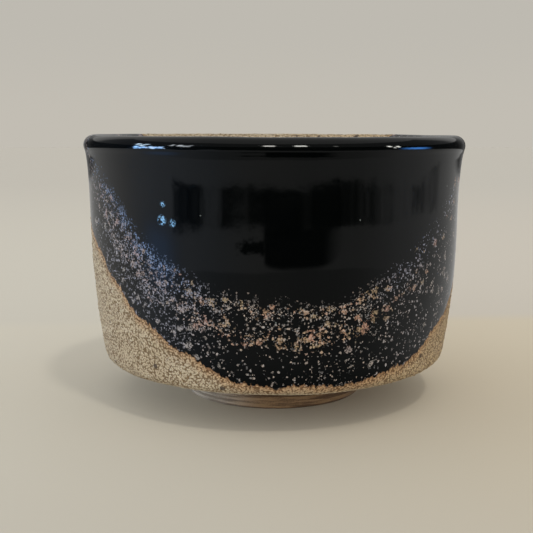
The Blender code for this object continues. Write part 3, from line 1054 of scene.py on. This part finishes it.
# Spots on the outer wall, as (bearing in degrees, height and radius in millimetres).
IRON_SPOTS = (
    (-37.7, 17.5, 0.85), (-61.4, 14.1, 0.75), (-15.4, 13.5, 0.9), (50.2, 18.3, 0.75), (-60.5, 27.0, 0.5),
)
# Painted blue glints of window light on a few crystals, as (bearing in degrees, height and radius in
# millimetres).
BLUE_GLINTS = ((-31.2, 64.0, 0.9), (-31.6, 59.7, 1.5), (-28.3, 59.0, 1.2))

# Iron spots inside the far lip, as (distance to the right of the middle, radius) in millimetres.
LIP_SPOTS = ((9.0, 0.7), (17.5, 0.7), (31.0, 1.1), (44.0, 0.9))
LIP_SPOT_RADIUS, LIP_SPOT_HEIGHT = 55.4, 81.2


def points_on_bowl(marked):
    """The middle and radius of each spot on the outer wall."""
    bearing, height, radius = np.array(marked).T
    return list(zip(thrown(np.radians(bearing), along_at(height * MM)).tolist(), (radius * MM).tolist()))


def points_in_lip(marked):
    """The middle and radius of each spot inside the far lip."""
    back = [math.sqrt(LIP_SPOT_RADIUS**2 - x**2) for x, _ in marked]
    return [((x * MM, y * MM, LIP_SPOT_HEIGHT * MM), r * MM) for (x, r), y in zip(marked, back)]


ALL_IRON = points_on_bowl(IRON_SPOTS) + points_in_lip(LIP_SPOTS)
CREAM = sandy_cream("sandy_cream_glaze", 0.22 * MM, 0.0, ALL_IRON)
LINING = sandy_cream("satin_cream_lining", 0.05 * MM, 0.22)
DARK = dark_glaze("dark_glaze", points_on_bowl(BLUE_GLINTS))
CLAY = turned_clay("bare_clay")
print(f"{len(ALL_IRON)} iron spots, {len(BLUE_GLINTS)} blue crystals")

# %% The outer coats
GRIT_HEIGHT, MELTED_HEIGHT = 0.10 * MM, 0.16 * MM


def gritty(turn, along):
    """How far the cream coat's grit stands up: the size of a noise, fading to the coat's bottom edge."""
    return GRIT_HEIGHT * np.abs(read(GRIT, turn, along)) * np.clip(along / (2 * MM), 0.2, 1)


def melted(turn, along):
    """How far the dark coat stands up: it rises as an exponential of the distance past the dip line, while
    the grit under it fades as another."""
    first = np.interp(turn, TURNS, FIRST)
    inside = np.clip((along - first) / (1.0 * MM), 0, 30)
    return MELTED_HEIGHT * (1 - np.exp(-inside)) + gritty(turn, along) * np.exp(-inside / 1.5)


pale = coat("pale_glaze_coat", np.zeros(COLUMNS), FIRST, 112, gritty, CREAM)
speckled = coat("speckled_glaze_coat", FIRST, SECOND, 110, melted, DARK)
gloss = coat("gloss_glaze_coat", SECOND, END, 100, melted, DARK)

# %% The liner and the body
FAR_AWAY = -40.0
CORE_STRIDE = 12
CORE_DEPTH = 0.9 * MM


def in_black_lip(along, keep):
    """Distance from the dark lip, in metres and below 0, for the lining. Far away where the lip is cream."""
    return np.where(FIRST[keep] < END[keep], END[keep] - along, FAR_AWAY * MM)


def level(turn, line):
    """No relief: the line is carried round as it is."""
    return 0.0


def full_turn(name, line, material, push):
    """A closed line of (radius, height) points carried round the axis, each moved out by push(turn, line)."""
    turn = TURNS[::2][None, :]
    r = line[:, :1] + push(turn, line)
    x, y, z = np.broadcast_arrays(r * np.sin(turn), -r * np.cos(turn), line[:, 1:])
    points = np.stack((x, y, z), axis=-1).reshape(-1, 3)
    return mesh_piece(name, points, grid_faces(len(line), turn.shape[1], True), {}, material)


def core_outline():
    """The clay body's line: the finished outline one coat in, then the underside, flat over the foot ring."""
    core = OUTLINE[::CORE_STRIDE] - CORE_DEPTH * OUTWARD[::CORE_STRIDE]
    core = np.vstack((core, ((0.0, core[-1, 1]),)))
    edge_r, edge_z = core[0]
    r = np.linspace(0, edge_r, 60)
    under = np.column_stack((r, np.interp(r, (0, FOOT_RADIUS, edge_r), (SEAT_HEIGHT, SEAT_HEIGHT, edge_z))))
    return np.vstack((core[::-1], under[::-1]))


liner = coat("liner_glaze_coat", END, np.full(COLUMNS, ALONG[-1]), 110, level, LINING, in_black_lip)
body = full_turn("clay_body_thrown", core_outline(), CLAY, level)

# %% The foot
FOOT_WIDTH = 7 * MM
FOOT_EDGE = 0.7 * MM
FOOT_FLARE = 0.4 * MM
TOOL_RINGS = 0.9 * MM, 1.7 * MM
TOOL_DEPTH = 0.05 * MM


def rising(low_r, top_r, count):
    """Points from above the foot's rounded edge to just inside the clay body, between two radii."""
    z = np.linspace(FOOT_EDGE + 0.1 * MM, SEAT_HEIGHT + 0.2 * MM, count)
    return np.column_stack((np.linspace(low_r, top_r, count), z))


def foot_outline():
    """The foot ring's line: from the middle of its flat up the outside to the seat, and down the inside."""
    inner = FOOT_RADIUS - FOOT_WIDTH
    flat = (FOOT_RADIUS - 4.5 * MM, 0.0)
    return np.vstack(
        (
            (flat, (FOOT_RADIUS - 1.3 * MM, 0.0)),
            arc((FOOT_RADIUS - 1.1 * MM, FOOT_EDGE), FOOT_EDGE, -math.pi / 2, 0),
            rising(FOOT_RADIUS - FOOT_FLARE, FOOT_RADIUS, 60),
            rising(inner + 0.3 * MM, inner - 0.3 * MM, 20)[::-1],
            arc((inner + 1.0 * MM, FOOT_EDGE), FOOT_EDGE, -math.pi / 2, -math.pi)[::-1],
            ((inner + 1.0 * MM, 0.0), flat),
        )
    )


def tool_rings(turn, line):
    """Grooves of the trimming tool: the sum of two sines of the height, which wanders as they go round."""
    z = line[:, 1:] + 0.15 * MM * np.sin(turn + 1)
    close, wide = TOOL_RINGS
    groove = np.sin(math.tau * z / close) + 0.7 * np.sin(math.tau * z / wide + 1)
    side = np.clip(line[:, 1:] / MM - 0.5, 0, 1)
    return TOOL_DEPTH * groove * side


foot = full_turn("foot_ring_turned", foot_outline(), CLAY, tool_rings)

# %% [markdown]
# ## Each piece and its solid
#
# Every piece rides on the bowl's one body and stands for its own solid of the model.

# %% Which solid each piece stands for
for piece, solid in (
    (pale, "pale_glaze"),
    (speckled, "speckled_glaze"),
    (gloss, "gloss_glaze"),
    (liner, "liner_glaze"),
    (body, "clay_body"),
    (foot, "foot_ring"),
):
    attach(piece, "root")
    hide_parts(solid)
